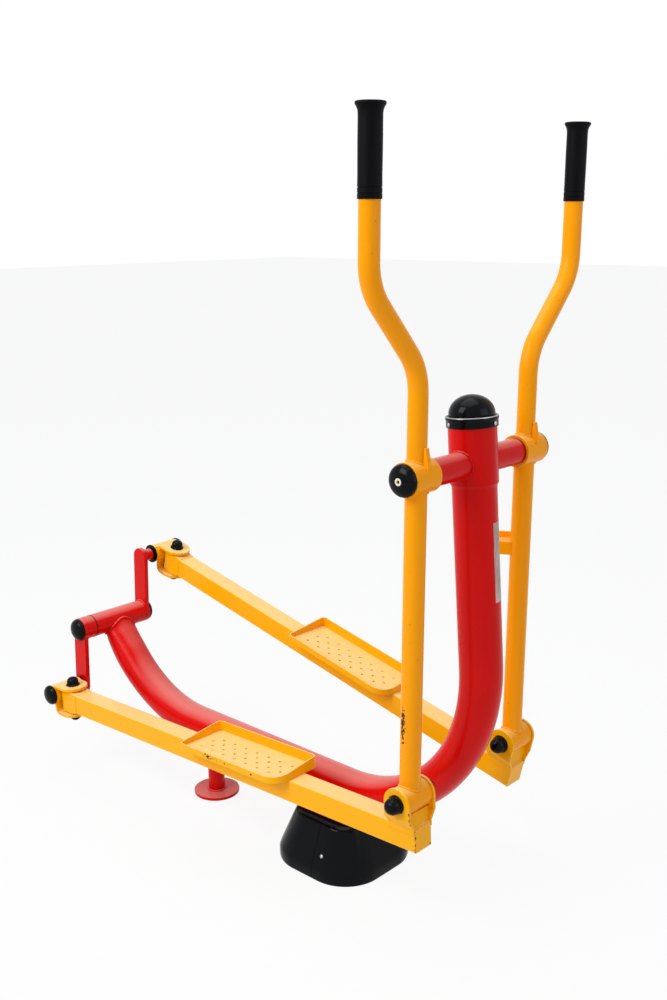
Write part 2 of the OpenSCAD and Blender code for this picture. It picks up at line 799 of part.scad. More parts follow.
// Plan of a tray, with its outer front corner well rounded
module tray_plan(inset) {
  r = 42 - inset;
  s = 12 - inset;
  translate([tray_start + inset, -tray_w / 2 + inset])
    difference() {
      square([tray_len - 2 * inset, tray_w - 2 * inset]);
      translate([tray_len - 2 * inset - r, -over]) square([r + over, r + over]);
      translate([tray_len - 2 * inset - s, tray_w - 2 * inset - s]) square([s + over, s + over]);
      translate([-over, tray_w - 2 * inset - s]) square([s + over, s + over]);
      translate([-over, -over]) square([s + over, s + over]);
    }
  translate([tray_start + tray_len - inset - r, -tray_w / 2 + inset + r]) circle(r = r);
  translate([tray_start + tray_len - inset - s, tray_w / 2 - inset - s]) circle(r = s);
  translate([tray_start + inset + s, tray_w / 2 - inset - s]) circle(r = s);
  translate([tray_start + inset + s, -tray_w / 2 + inset + s]) circle(r = s);
}
module tray(side) {
  floor_z = beam_h / 2;
  color("#ffb400")
    at_pin(side)
      translate([0, side * arm_y, -pin_rise + floor_z])
        difference() {
          intersection() {
            linear_extrude(tray_high + over) tray_plan(0);
            upright_yz()
              linear_extrude(tray_start + tray_len + over)
                polygon([
                  [-tray_w / 2, 0], [tray_w / 2, 0], [tray_w / 2, tray_high],
                  [tray_w / 2 - 12, tray_high], [-tray_w / 2 + 12, tray_low], [-tray_w / 2, tray_low],
                ]);
          }
          translate([0, 0, tray_t]) linear_extrude(tray_high) tray_plan(tray_t);
          for (row = [-2 : 1], i = [0 : 7])
            let (x = tray_start + 36 + i * hole_pitch + (row % 2 == 0 ? 0 : hole_pitch / 2),
                 y = (row + 0.5) * row_pitch)
              if (x < tray_start + tray_len - 24)
                translate([x, y, -over]) cylinder(d = hole_d, h = tray_t + 2 * over, $fn = 24);
        }
}
module pivot_bolt(side) {
  color("#9a9da1")
    at_beam(side)
      translate([link_run, 0, bolt_rise]) {
        along_y(-clevis_out, clevis_out, bolt_d);
        both_sides() along_y(clevis_out, clevis_out + 7, bolt_d + 10);
      }
}
module bolt_caps(side) {
  color("#16171a")
    at_beam(side)
      translate([link_run, 0, bolt_rise])
        both_sides()
          difference() {
            translate([0, clevis_out, 0]) rotate([-90, 0, 0]) dome_cap(40, 26, 14);
            along_y(clevis_out - over, clevis_out + 7, bolt_d + 10);
          }
}

// Swing arms, drawn for the left side in the arm's own frame
module arm_tube(side) {
  color("#ffb400")
    at_arm(side)
      translate([0, arm_y, 0])
        difference() {
          translate([0, 0, -arm_len]) tube(arm_d, arm_wall, arm_len);
          along_y(-hub_len, hub_len, hub_d);
          translate([0, 0, -arm_len]) along_y(-hub_len, hub_len, bush_d);
        }
}
module handle(side) {
  hub_r = hub_d / 2;
  out = arm_y + handle_splay;
  color("#ffb400")
    at_arm(side)
      upright_yz()
        swept_tube(
          [[arm_y, 0], [arm_y, handle_low], [out, handle_high], [out, handle_top]],
          [0, handle_bend_r, handle_bend_r], handle_d, arm_wall,
          32, hub_d, 1, function (o, q) sqrt(hub_r * hub_r - q * q)
        );
}
module arm_hub(side) {
  color("#ffb400")
    at_arm(side) {
      tube_along_y(hub_in, hub_in + bearing_t, hub_d, hub_seat_d);
      tube_along_y(hub_in + bearing_t, hub_out - bearing_t, hub_d, axle_d + 8);
      tube_along_y(hub_out - bearing_t, hub_out, hub_d, hub_seat_d);
      translate([0, arm_y, 0]) handle_gusset();
    }
}
// The small gusset between the hub and the front of the handle
module handle_gusset() {
  upright_xz()
    linear_extrude(10, center = true)
      difference() {
        polygon([[handle_d / 2, 0], [handle_d / 2, 58], [handle_d / 2 + 5, 58], [hub_d / 2 - 2, 24], [hub_d / 2 - 2, 0]]);
        circle(d = hub_d - 1);
      }
}
module hub_bearings(side) {
  color("#9a9da1")
    at_arm(side) {
      tube_along_y(hub_in + 1, hub_in + bearing_t, hub_seat_d, axle_d + 2 * run_fit);
      tube_along_y(hub_out - bearing_t, hub_out - 1, hub_seat_d, axle_d + 2 * run_fit);
    }
}
module hub_cap(side) {
  color("#16171a")
    at_arm(side)
      translate([0, hub_out, 0]) rotate([-90, 0, 0]) dome_cap(hub_d - 3, 19, 5);
}
module lower_bush(side) {
  color("#ffb400")
    at_arm(side)
      translate([0, arm_y, -arm_len])
        tube_along_y(-bush_len / 2, bush_len / 2, bush_d, bolt_d + 2 * run_fit);
}
module grip(side) {
  color("#16171a")
    at_arm(side)
      translate([0, arm_y + handle_splay, 0]) {
        difference() {
          translate([0, 0, handle_top - grip_len]) cylinder(d = grip_d, h = grip_len + 3);
          translate([0, 0, handle_top - grip_len - over]) cylinder(d = handle_d, h = grip_len + over);
        }
        translate([0, 0, handle_top - 12])
          rotate_extrude()
            polygon([
              [grip_d / 2 - 0.5, -8], [grip_d / 2, -8], [grip_collar_d / 2, 8],
              [grip_collar_d / 2, 13], [grip_d / 2 - 0.5, 15],
            ]);
      }
}
// A short bent section that reaches back and inwards from the left arm, beside the post:
// a near side, a top and a raised back flange
module stop_bracket() {
  t = 5;
  color("#ffb400")
    at_arm(1)
      translate([0, arm_y, -stop_drop - stop_h])
        rotate([0, 0, -stop_turn])
          difference() {
            translate([12, -10, 0])
              rotate([90, 0, 0])
                linear_extrude(arm_d / 2 + stop_reach - 10)
                  polygon([
                    [0, 0], [0, stop_h], [t - stop_w, stop_h], [t - stop_w, stop_h + stop_flange],
                    [-stop_w, stop_h + stop_flange], [-stop_w, stop_h - t], [-t, stop_h - t], [-t, 0],
                  ]);
            translate([0, 0, -over]) cylinder(d = arm_d, h = stop_h + stop_flange + 2 * over);
          }
}

main_tube();
head_sleeve();
cross_tube();
pivot_axle();
cap_collar();
cap_dome();
cap_screws();
crank_housing();
crank_bearings();
front_leg();
base_plate();
half_cover(true);  // base_cover_front
half_cover(false);  // base_cover_rear
cover_screws();
rear_leg();
rear_foot();
crank_shaft();
crank_hubs();
crank_arm_right();
crank_arm_left();
crank_caps();
yoke(-1);  // yoke_right
crank_pin(-1);  // crank_pin_right
yoke_caps(-1);  // yoke_caps_right
swivel_pin(-1);  // swivel_pin_right
yoke(1);  // yoke_left
crank_pin(1);  // crank_pin_left
yoke_caps(1);  // yoke_caps_left
swivel_pin(1);  // swivel_pin_left
beam(-1);  // beam_right
beam_eye(-1);  // beam_eye_right
eye_bushes(-1);  // eye_bushes_right
clevis(-1);  // clevis_right
tray(-1);  // tray_right
pivot_bolt(-1);  // pivot_bolt_right
bolt_caps(-1);  // bolt_caps_right
beam(1);  // beam_left
beam_eye(1);  // beam_eye_left
eye_bushes(1);  // eye_bushes_left
clevis(1);  // clevis_left
tray(1);  // tray_left
pivot_bolt(1);  // pivot_bolt_left
bolt_caps(1);  // bolt_caps_left
arm_tube(-1);  // arm_tube_right
handle(-1);  // handle_right
arm_hub(-1);  // arm_hub_right
hub_bearings(-1);  // hub_bearings_right
hub_cap(-1);  // hub_cap_right
lower_bush(-1);  // lower_bush_right
grip(-1);  // grip_right
arm_tube(1);  // arm_tube_left
handle(1);  // handle_left
arm_hub(1);  // arm_hub_left
hub_bearings(1);  // hub_bearings_left
hub_cap(1);  // hub_cap_left
lower_bush(1);  // lower_bush_left
grip(1);  // grip_left
stop_bracket();
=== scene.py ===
# %% [markdown]
# # An outdoor cross trainer
# The machine stands in a park: a bent red tube carries two yellow swinging arms at its head and a crank at its
# rear, and a pedal beam joins each arm to the crank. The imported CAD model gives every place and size. This
# notebook gives the surfaces: powder coat over steel, moulded black caps, rubber grips, weld beads and wear.

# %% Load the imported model
import json
import math

import bmesh
import bpy
from mathutils import Matrix, Vector


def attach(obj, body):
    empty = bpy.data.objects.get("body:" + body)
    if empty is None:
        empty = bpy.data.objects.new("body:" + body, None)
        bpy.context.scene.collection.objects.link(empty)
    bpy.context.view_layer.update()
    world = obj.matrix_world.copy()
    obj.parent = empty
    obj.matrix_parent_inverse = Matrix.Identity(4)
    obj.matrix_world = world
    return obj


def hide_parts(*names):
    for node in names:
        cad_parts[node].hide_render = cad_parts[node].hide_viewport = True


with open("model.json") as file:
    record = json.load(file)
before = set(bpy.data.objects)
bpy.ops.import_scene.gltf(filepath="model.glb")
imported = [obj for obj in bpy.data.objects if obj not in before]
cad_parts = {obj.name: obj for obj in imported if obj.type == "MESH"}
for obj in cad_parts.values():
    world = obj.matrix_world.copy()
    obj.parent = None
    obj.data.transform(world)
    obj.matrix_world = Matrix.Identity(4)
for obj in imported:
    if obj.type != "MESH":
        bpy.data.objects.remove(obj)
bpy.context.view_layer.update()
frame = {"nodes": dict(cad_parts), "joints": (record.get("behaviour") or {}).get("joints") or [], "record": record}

# %% [markdown]
# The camera comes first, because every comparison with the photograph needs it. It could be placed by eye, but
# a camera fitted to about forty features of the photograph is exact: that gave its place, its heading, its
# downward pitch and a very small roll. The focal length is in pixels of a frame 1000 pixels high, and Blender
# wants it in millimetres of a 36 mm sensor.

# %% Camera
FOCAL_PIXELS, FRAME_PIXELS, SENSOR_MM = 1149.87, 1000, 36
HEADING, PITCH, ROLL = (math.radians(angle) for angle in (42.69, 13.79, -0.38))
CAMERA_PLACE = (1.6285, -1.794, 1.4435)

forward = Vector((-math.sin(HEADING) * math.cos(PITCH), math.cos(HEADING) * math.cos(PITCH), -math.sin(PITCH)))
level_right = forward.cross(Vector((0, 0, 1))).normalized()
level_up = level_right.cross(forward)
right = math.cos(ROLL) * level_right + math.sin(ROLL) * level_up
up = math.cos(ROLL) * level_up - math.sin(ROLL) * level_right

camera_data = bpy.data.cameras.new("camera")
camera_data.sensor_width = SENSOR_MM
camera_data.lens = FOCAL_PIXELS / FRAME_PIXELS * SENSOR_MM
camera = bpy.data.objects.new("camera", camera_data)
bpy.context.scene.collection.objects.link(camera)
camera.matrix_world = Matrix.Translation(CAMERA_PLACE) @ Matrix((right, up, -forward)).transposed().to_4x4()
bpy.context.scene.camera = camera
print("lens in mm:", round(camera_data.lens, 2))

# %% [markdown]
# Two helpers serve every material. Colours are written as sRGB hex values, as they would be read off a colour
# chart, and Blender's sockets want them linear. A node tree is easier to read when one line makes a node, sets
# it and links it.

# %% Colours and nodes
def srgb(code):
    """The linear colour of an sRGB hex value."""
    parts = [int(code[i : i + 2], 16) / 255 for i in (1, 3, 5)]
    return tuple(p / 12.92 if p <= 0.04045 else ((p + 0.055) / 1.055) ** 2.4 for p in parts) + (1.0,)


def add(tree, kind, settings=None, links=None):
    """Adds one node, sets its properties or sockets, and links its sockets to the outputs given."""
    node = tree.nodes.new(kind)
    for key, value in (settings or {}).items():
        if isinstance(key, str) and hasattr(node, key):
            setattr(node, key, value)
        else:
            node.inputs[key].default_value = value
    for key, output in (links or {}).items():
        tree.links.new(output, node.inputs[key])
    return node


print("orange in linear light:", [round(v, 3) for v in srgb("#ffb800")[:3]])

# %% [markdown]
# The background of the picture is white, but a white room would flood the machine with light. So the sky is dim
# for the rays that light the machine, and white for the rays that the camera sees. A mirror or a glass shows
# the white one too.

# %% Sky
SKY_COLOUR, SKY_STRENGTH = "#e9eef4", 0.42
WHITE = (1, 1, 1, 1)
bpy.context.scene.view_settings.view_transform = "Standard"


def seen(tree):
    """1 for rays from the camera, and for rays that a mirror or a glass sends on, which show the background too."""
    path = add(tree, "ShaderNodeLightPath").outputs
    mirrored = add(tree, "ShaderNodeMath", {"operation": "MAXIMUM"}, {0: path[0], 1: path["Is Glossy Ray"]})
    links = {0: mirrored.outputs[0], 1: path["Is Transmission Ray"]}
    return add(tree, "ShaderNodeMath", {"operation": "MAXIMUM"}, links).outputs[0]


world = bpy.data.worlds.new("pale sky")
world.use_nodes = True
sky_tree = world.node_tree
sky = sky_tree.nodes["Background"]
sky.inputs["Color"].default_value, sky.inputs["Strength"].default_value = srgb(SKY_COLOUR), SKY_STRENGTH
backdrop = add(sky_tree, "ShaderNodeBackground", {"Color": WHITE, "Strength": 1.0})
choice = add(sky_tree, "ShaderNodeMixShader", links={0: seen(sky_tree), 1: sky.outputs[0], 2: backdrop.outputs[0]})
sky_tree.links.new(choice.outputs[0], sky_tree.nodes["World Output"].inputs["Surface"])
bpy.context.scene.world = world
print("sky strength:", SKY_STRENGTH)

# %% [markdown]
# The light is a soft studio light. One large lamp stands to the left of the camera, a second hangs over the
# machine, and a weak one opens the shadows from the front left. So the top faces are the brightest and those
# towards the front the darkest, as in the photograph. The lamps stay at a plain level, at which each colour
# renders about as it is written.

# %% Lamps
AIM = Vector((-0.2, 0, 0.7))
LAMPS = {  # name: place in metres, size in metres, power in watts
    "key": ((-0.9, -3.4, 3.2), 2.4, 116),
    "over": ((-0.3, -0.3, 4.2), 3.0, 60),
    "fill": ((3.2, 0.6, 2.0), 2.0, 20),
}
for name, (place, size, power) in LAMPS.items():
    lamp = bpy.data.lights.new(name, "AREA")
    lamp.size, lamp.energy = size, power
    holder = bpy.data.objects.new(name, lamp)
    bpy.context.scene.collection.objects.link(holder)
    towards = (AIM - Vector(place)).to_track_quat("-Z", "Y").to_matrix().to_4x4()
    holder.matrix_world = Matrix.Translation(place) @ towards
print(len(LAMPS), "lamps,", sum(power for place, size, power in LAMPS.values()), "watts in all")

# %% [markdown]
# The floor is one pale sheet. A plain white one would show a grey band where the light fades, so most of what
# the camera sees of it is made white, and the rest is the real surface, which keeps the machine's shadow.

# %% Floor
FLOOR_HALF, WHITE_SHARE = 30, 0.9
floor_bm = bmesh.new()
bmesh.ops.create_grid(floor_bm, x_segments=1, y_segments=1, size=FLOOR_HALF)
floor_mesh = bpy.data.meshes.new("floor")
floor_bm.to_mesh(floor_mesh)
floor_bm.free()
floor = bpy.data.objects.new("floor", floor_mesh)
bpy.context.scene.collection.objects.link(floor)

pale_floor = bpy.data.materials.new("pale studio floor")
pale_floor.use_nodes = True
floor_tree = pale_floor.node_tree
matt = floor_tree.nodes["Principled BSDF"]
matt.inputs["Base Color"].default_value, matt.inputs["Roughness"].default_value = srgb("#e6e7e8"), 0.8
white = add(floor_tree, "ShaderNodeEmission", {"Color": WHITE, "Strength": 1.0})
part_seen = add(floor_tree, "ShaderNodeMath", {"operation": "MULTIPLY", 1: WHITE_SHARE}, {0: seen(floor_tree)})
paving = add(
    floor_tree, "ShaderNodeMixShader", links={0: part_seen.outputs[0], 1: matt.outputs[0], 2: white.outputs[0]}
)
floor_tree.links.new(paving.outputs[0], floor_tree.nodes["Material Output"].inputs["Surface"])
floor_mesh.materials.append(pale_floor)
print("floor side in metres:", 2 * FLOOR_HALF)

# %% [markdown]
# Outdoor steel is coated with polyester powder, which is baked on in one thick layer. To the eye that gives a
# deep even colour with a soft gloss and a faint orange peel, and the colour drifts a little over a long tube.
# Where it is knocked it breaks off in small chips, which show dark steel: along the edges of plates, and at a
# few worn spots. A picture of chips would do, but noise follows any shape: an attribute called worn marks the
# edges, and each spot is a place and a radius.

# %% Chips in the coat
# The real chips are 1 to 4 mm across, so the noise that breaks them up has cells of about 4 mm.
# Where the noise and the wear add up to 0.72 the coat begins to break off, and at 0.75 it is gone.
FLAKE_SCALE, EDGE_WEAR = 240.0, 0.10
BREAKS, GONE = 0.72, 0.75


def chips(tree, place, spots):
    """1 where the coat has broken off: at edges that are marked as worn, and within the spots given."""
    worn = add(tree, "ShaderNodeAttribute", {"attribute_name": "worn"}).outputs["Fac"]
    amount = add(tree, "ShaderNodeMath", {"operation": "MULTIPLY", 1: EDGE_WEAR}, {0: worn}).outputs[0]
    for centre, radius, strength in spots:
        far = add(tree, "ShaderNodeVectorMath", {"operation": "DISTANCE", 1: centre}, {0: place})
        near = add(
            tree, "ShaderNodeMapRange", {"From Min": radius / 1000, "From Max": 0.0, "To Max": strength},
            {"Value": far.outputs["Value"]},
        )
        amount = add(tree, "ShaderNodeMath", {"operation": "ADD"}, {0: amount, 1: near.outputs["Result"]}).outputs[0]
    flakes = add(tree, "ShaderNodeTexNoise", {"Scale": FLAKE_SCALE, "Detail": 4.0}, {"Vector": place})
    reach = add(tree, "ShaderNodeMath", {"operation": "ADD"}, {0: flakes.outputs["Fac"], 1: amount})
    broken = add(tree, "ShaderNodeMapRange", {"From Min": BREAKS, "From Max": GONE}, {"Value": reach.outputs[0]})
    return broken.outputs["Result"]


print("flakes of about", round(1000 / FLAKE_SCALE, 1), "mm")

# %% [markdown]
# The light from above is painted into the coat as a highlight: its faces that point up are painted paler than
# the rest, so the tops of the beams and the floors of the trays are nearly cream. The direction of the face in
# the world decides that. Only faces within about 50 degrees of level are reached.

# %% Powder coat
# The pale colour that top faces take is a painted highlight for the light from above.
TOP_HIGHLIGHT_FROM, TOP_HIGHLIGHT_FULL, TOP_HIGHLIGHT_SHARE = 0.6, 0.95, 0.5  # how far a face points up, and its share of the pale colour
COAT_GLOSS, BARE_STEEL = (0.2, 0.32), 0.65  # roughness of the coat, and of the steel in a chip


def mixed(tree, share, first, second):
    """A colour between two, each an output or an sRGB value, by a share that is an output."""
    settings, links = {"data_type": "RGBA"}, {0: share}
    for socket, colour in ((6, first), (7, second)):
        if isinstance(colour, str):
            settings[socket] = srgb(colour)
        else:
            links[socket] = colour
    return add(tree, "ShaderNodeMix", settings, links).outputs[2]


def painted_top_highlight(tree):
    """How much painted highlight the coat takes: none on sides, and the full share on top faces."""
    facing = add(tree, "ShaderNodeSeparateXYZ", links={0: add(tree, "ShaderNodeNewGeometry").outputs["Normal"]})
    settings = {"From Min": TOP_HIGHLIGHT_FROM, "From Max": TOP_HIGHLIGHT_FULL, "To Max": TOP_HIGHLIGHT_SHARE}
    return add(tree, "ShaderNodeMapRange", settings, {"Value": facing.outputs["Z"]}).outputs["Result"]


def powder_coat(name, main, shade, pale, chip, mirror, spots=()):
    """Polyester powder coat, glossy, with orange peel, a painted highlight on top faces, and chips at worn edges and
    spots.
    """
    coat = bpy.data.materials.new(name)
    coat.use_nodes = True
    tree = coat.node_tree
    surface = tree.nodes["Principled BSDF"]
    place = add(tree, "ShaderNodeTexCoord").outputs["Object"]
    drift = add(tree, "ShaderNodeTexNoise", {"Scale": 4.0, "Detail": 2.0}, {"Vector": place}).outputs["Fac"]
    chipped = chips(tree, place, spots)
    # Top faces are painted towards the pale colour: a painted highlight.
    colour = mixed(tree, painted_top_highlight(tree), mixed(tree, drift, main, shade), pale)
    tree.links.new(mixed(tree, chipped, colour, chip), surface.inputs["Base Color"])

    settings = {"To Min": COAT_GLOSS[0], "To Max": COAT_GLOSS[1]}
    gloss = add(tree, "ShaderNodeMapRange", settings, {"Value": drift}).outputs["Result"]
    dull = add(tree, "ShaderNodeMix", {"data_type": "FLOAT", 3: BARE_STEEL}, {0: chipped, 2: gloss})
    tree.links.new(dull.outputs[0], surface.inputs["Roughness"])
    # Orange peel is about 2 mm across. It is drawn at 6 mm, the finest that the render can show.
    peel = add(tree, "ShaderNodeTexNoise", {"Scale": 160.0, "Detail": 1.0}, {"Vector": place})
    ripple = add(tree, "ShaderNodeBump", {"Strength": 0.06, "Distance": 0.001}, {"Height": peel.outputs["Fac"]})
    pit = add(
        tree, "ShaderNodeBump", {"Strength": 0.6, "Distance": 0.0006, "invert": True},
        {"Height": chipped, "Normal": ripple.outputs["Normal"]},
    )
    tree.links.new(pit.outputs["Normal"], surface.inputs["Normal"])
    surface.inputs["Specular IOR Level"].default_value = mirror
    return coat


# The painted highlight reaches faces within this angle of level.
print("the coat brightens on faces within", round(math.degrees(math.acos(TOP_HIGHLIGHT_FROM))), "degrees of level")

# %% [markdown]
# All other finishes are of one colour that drifts a little, so one function makes them, with the grain of each
# given in millimetres.

# %% A plain finish
def plain_finish(name, main, other, roughness, grain_mm, bump=0.05, metallic=0.0, mirror=0.5):
    """One finish whose colour and gloss drift with a grain of the size given."""
    finish = bpy.data.materials.new(name)
    finish.use_nodes = True
    tree = finish.node_tree
    surface = tree.nodes["Principled BSDF"]
    place = add(tree, "ShaderNodeTexCoord").outputs["Object"]
    drift = add(tree, "ShaderNodeTexNoise", {"Scale": 18.0, "Detail": 3.0}, {"Vector": place}).outputs["Fac"]
    tree.links.new(mixed(tree, drift, main, other), surface.inputs["Base Color"])
    gloss = add(tree, "ShaderNodeMapRange", {"To Min": roughness[0], "To Max": roughness[1]}, {"Value": drift})
    tree.links.new(gloss.outputs["Result"], surface.inputs["Roughness"])
    grain = add(tree, "ShaderNodeTexNoise", {"Scale": 1000 / grain_mm, "Detail": 2.0}, {"Vector": place})
    texture = add(tree, "ShaderNodeBump", {"Strength": bump, "Distance": 0.001}, {"Height": grain.outputs["Fac"]})
    tree.links.new(texture.outputs["Normal"], surface.inputs["Normal"])
    surface.inputs["Metallic"].default_value = metallic
    surface.inputs["Specular IOR Level"].default_value = mirror
    return finish


# %% [markdown]
# The caps, the base cover and the head come from polished moulds, so their black is deep with small soft
# highlights. The grips are rubber, which hardly shines. Screws, pins and washers are plated steel, and the
# bushes in the joints are bronze. The label film and the washers in the arms' caps have aged to a warm white.

# %% Plastic, rubber and metal
# Injection-moulded ABS from a polished mould: a black mirror with a slight waviness.
black_plastic = plain_finish("polished black ABS", "#030408", "#06080c", (0.1, 0.2), 9, bump=0.04, mirror=0.1)
# Rubber moulded over the tube: matt, with a fine tooth that breaks up the light.
black_rubber = plain_finish("moulded black rubber", "#050508", "#0b0b10", (0.42, 0.6), 4, bump=0.2, mirror=0.06)
# Zinc plating: bright grey metal that has dulled in patches.
zinc = plain_finish("zinc-plated steel", "#b9bcc0", "#8f9296", (0.25, 0.42), 5, metallic=1.0)
# Cast and turned bronze: warm brown metal, half matt.
bronze = plain_finish("cast bronze", "#b98a3e", "#8d642a", (0.3, 0.45), 5, metallic=1.0)
# Printed film without its print: off-white, with faint creases.
label_film = plain_finish("weathered label film", "#fbe9e2", "#f2d6cc", (0.35, 0.5), 12, bump=0.1, mirror=0.2)
# Moulded nylon: creamy, with a soft even gloss.
nylon = plain_finish("moulded nylon", "#efe9d2", "#ddd3b4", (0.35, 0.5), 6, bump=0.05, mirror=0.3)
FINISHES = {"black_plastic": black_plastic, "black_rubber": black_rubber, "steel": zinc, "bronze": bronze}
print("finishes:", ", ".join(FINISHES))

# %% [markdown]
# Every shape below is drawn in millimetres in the frame of what carries it, and then moved there once. The head
# leans with the post, each arm leans with its own rest angle, and each beam lies at its own tilt. The joints of
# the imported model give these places. The right side is the left side's mirror image, so it is drawn once.

# %% Frames of the moving parts
RECORD = frame["record"]
BODY_OF = {node: body for body, nodes in RECORD["behaviour"]["bodies"].items() for node in nodes}
SLOT_OF = {part["node"]: part["material_slot"] for part in RECORD["subparts"]}
JOINT = {joint["name"]: joint for joint in frame["joints"]}
SIDES = {"right": -1, "left": 1}
MM = Matrix.Scale(0.001, 4)

ARM_Y, ARM_LEN = 178, 647  # the arms' middle plane, and from the pivot to the lower bolt
SWIVEL_FWD, PIN_RISE = 46, 12  # the swivel pin is in front of the crank pin, and the beam is below it
BOLT_RUN, BOLT_RISE = 1189, 77  # the lower bolt from the beam's start, along it and above it


def at(x, z, along, side=1, y=0.0):
    """A frame at x, y and z in millimetres, whose X axis points along (x, z), mirrored where side is -1."""
    ahead = Vector((along[0], 0, along[1])).normalized()
    axes = Matrix((ahead, (0, side, 0), ahead.cross(Vector((0, 1, 0))))).transposed().to_4x4()
    return Matrix.Translation((x / 1000, side * y / 1000, z / 1000)) @ axes


def moved(x=0.0, y=0.0, z=0.0):
    """A move by millimetres inside a frame."""
    return Matrix.Translation((x / 1000, y / 1000, z / 1000))


def joint_xz(name):
    """A joint's place in millimetres, as x and z."""
    place = JOINT[name]["pos_m"]
    return 1000 * place[0], 1000 * place[2]


pivot_x, pivot_z = joint_xz("arm_left_swing")
crank_x, crank_z = joint_xz("crank_turn")
HEAD = at(pivot_x, pivot_z, (810, 58))
CRANK, ARM, BEAM, PIN = {}, {}, {}, {}
for word, side in SIDES.items():
    bolt_x, bolt_z = joint_xz(f"pedal_{word}_tilt")
    CRANK[word] = at(crank_x, crank_z, (1, 0), side)
    ARM[word] = at(pivot_x, pivot_z, (pivot_z - bolt_z, bolt_x - pivot_x), side)
    axis = JOINT[f"yoke_{word}_swivel"]["axis"]
    ahead = Vector((axis[2], -axis[0]))
    start = Vector(joint_xz(f"yoke_{word}_swivel")) - SWIVEL_FWD * ahead
    pin = start + PIN_RISE * Vector((-ahead.y, ahead.x))
    BEAM[word] = at(start.x, start.y, ahead, side, ARM_Y)
    PIN[word] = at(pin.x, pin.y, ahead, side)
    print(word, "pin at", [round(v) for v in pin], "bolt at", [round(bolt_x), round(bolt_z)])

# %% [markdown]
# Now the coats can be made, because their worn spots are places on the moving parts. Bolts, feet and the ground
# knock the same spots again and again: the rear of the lower arm, the outer wall of the right tray, the front
# corners of a beam and of its ear, and the root of the left crank arm. The arms take a darker, more orange copy
# of the yellow coat, which is painted shade: they stand in more shade than the beams.

# %% The coats with their worn spots
def worn_spots(place, *points):
    """Worn spots in a frame. Each point is x, y and z, a radius in millimetres, and how worn it is."""
    return [((place @ MM) @ Vector(point[:3]), *point[3:]) for point in points]


TRAY_WALL = ((648, 8), (660, 9), (672, 9), (686, 7), (714, 6), (798, 6), (857, 8))
ARM_REAR = ((454, 7), (466, 9), (478, 11), (490, 12), (502, 10), (514, 8), (525, 6))
EAR_EDGE = ((33, 22), (38, 40), (42, 52), (42, 64))
BEAM_FRONT = 1221
beam_spots = worn_spots(BEAM["right"], *((x, 65, 33, radius, 0.34) for x, radius in TRAY_WALL))
beam_spots += worn_spots(BEAM["right"], *((BEAM_FRONT, y, -25, 13, 0.24) for y in (-25, 25)))
beam_spots += worn_spots(BEAM["right"], *((BEAM_FRONT, 24, z, 9, 0.2) for z in (-8, 8, 22)))
beam_spots += worn_spots(BEAM["right"], *((BEAM_FRONT, y, z, 5, 0.26) for y, z in EAR_EDGE))
crank_spots = worn_spots(CRANK["left"], *((-23, 88, z, 12, 0.24) for z in (30, 42, 54)))
crank_spots += worn_spots(CRANK["left"], *((-10, y, 28, 9, 0.2) for y in (70, 80)))
arm_spots = worn_spots(ARM["right"], *((-4, ARM_Y + 20.6, -down, radius, 0.36) for down, radius in ARM_REAR))

# The third colour of each coat is its pale colour, the painted highlight on its top faces.
FINISHES["yellow_coat"] = powder_coat(
    "yellow polyester powder coat", "#ffb800", "#ffac00", "#ffeeb4", "#3d3227", 0.16, beam_spots
)
FINISHES["red_coat"] = powder_coat(
    "red polyester powder coat", "#e20a06", "#c60604", "#f0a49c", "#3b2320", 0.12, crank_spots
)
# The arms' coat is darker and more orange than the beams': painted shade.
arms_painted_shade_coat = powder_coat(
    "yellow powder coat with painted shade", "#ffa600", "#ff9a00", "#ffe08a", "#3d3227", 0.12, arm_spots
)
print(len(beam_spots) + len(crank_spots) + len(arm_spots), "worn spots")


# %% [markdown]
# A shape becomes a piece of the machine in one step: it moves to its frame, gets smooth shading with sharp
# edges where its faces meet at more than an angle, takes its finish, and rides on its body.

# %% Making a piece
def make_piece(name, bm, body, slot, where=Matrix.Identity(4), finish=None, stands_for=(), sharp=32):
    """Puts a mesh drawn in millimetres in its place as a piece that rides on a body."""
    bm.transform(where @ MM)
    if where.determinant() < 0:
        bmesh.ops.reverse_faces(bm, faces=bm.faces)
    mesh = bpy.data.meshes.new(name)
    bm.to_mesh(mesh)
    bm.free()
    mesh.shade_smooth()
    mesh.set_sharp_from_angle(angle=math.radians(sharp))
    mesh.materials.append(finish or FINISHES[slot])
    piece = bpy.data.objects.new(name, mesh)
    bpy.context.scene.collection.objects.link(piece)
    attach(piece, body)
    if stands_for:
        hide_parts(*stands_for)
    return piece


def coat_of(node):
    """The coat with painted shade for the arms' yellow pieces, and otherwise nothing, which means the slot's own
    finish.
    """
    return arms_painted_shade_coat if BODY_OF[node].startswith("arm_") and SLOT_OF[node] == "yellow_coat" else None


# %% [markdown]
# Real plates and tubes catch a line of light along every edge, and a sharp CAD edge doesn't. So most nodes are
# copied and their sharp edges rounded with a bevel. The roundings are marked as worn, for the chips. The copy
# is merged first, because a CAD node's mesh is loose triangles. Its flat faces are then weighted by area, or
# the shading of the roundings would spread over them.

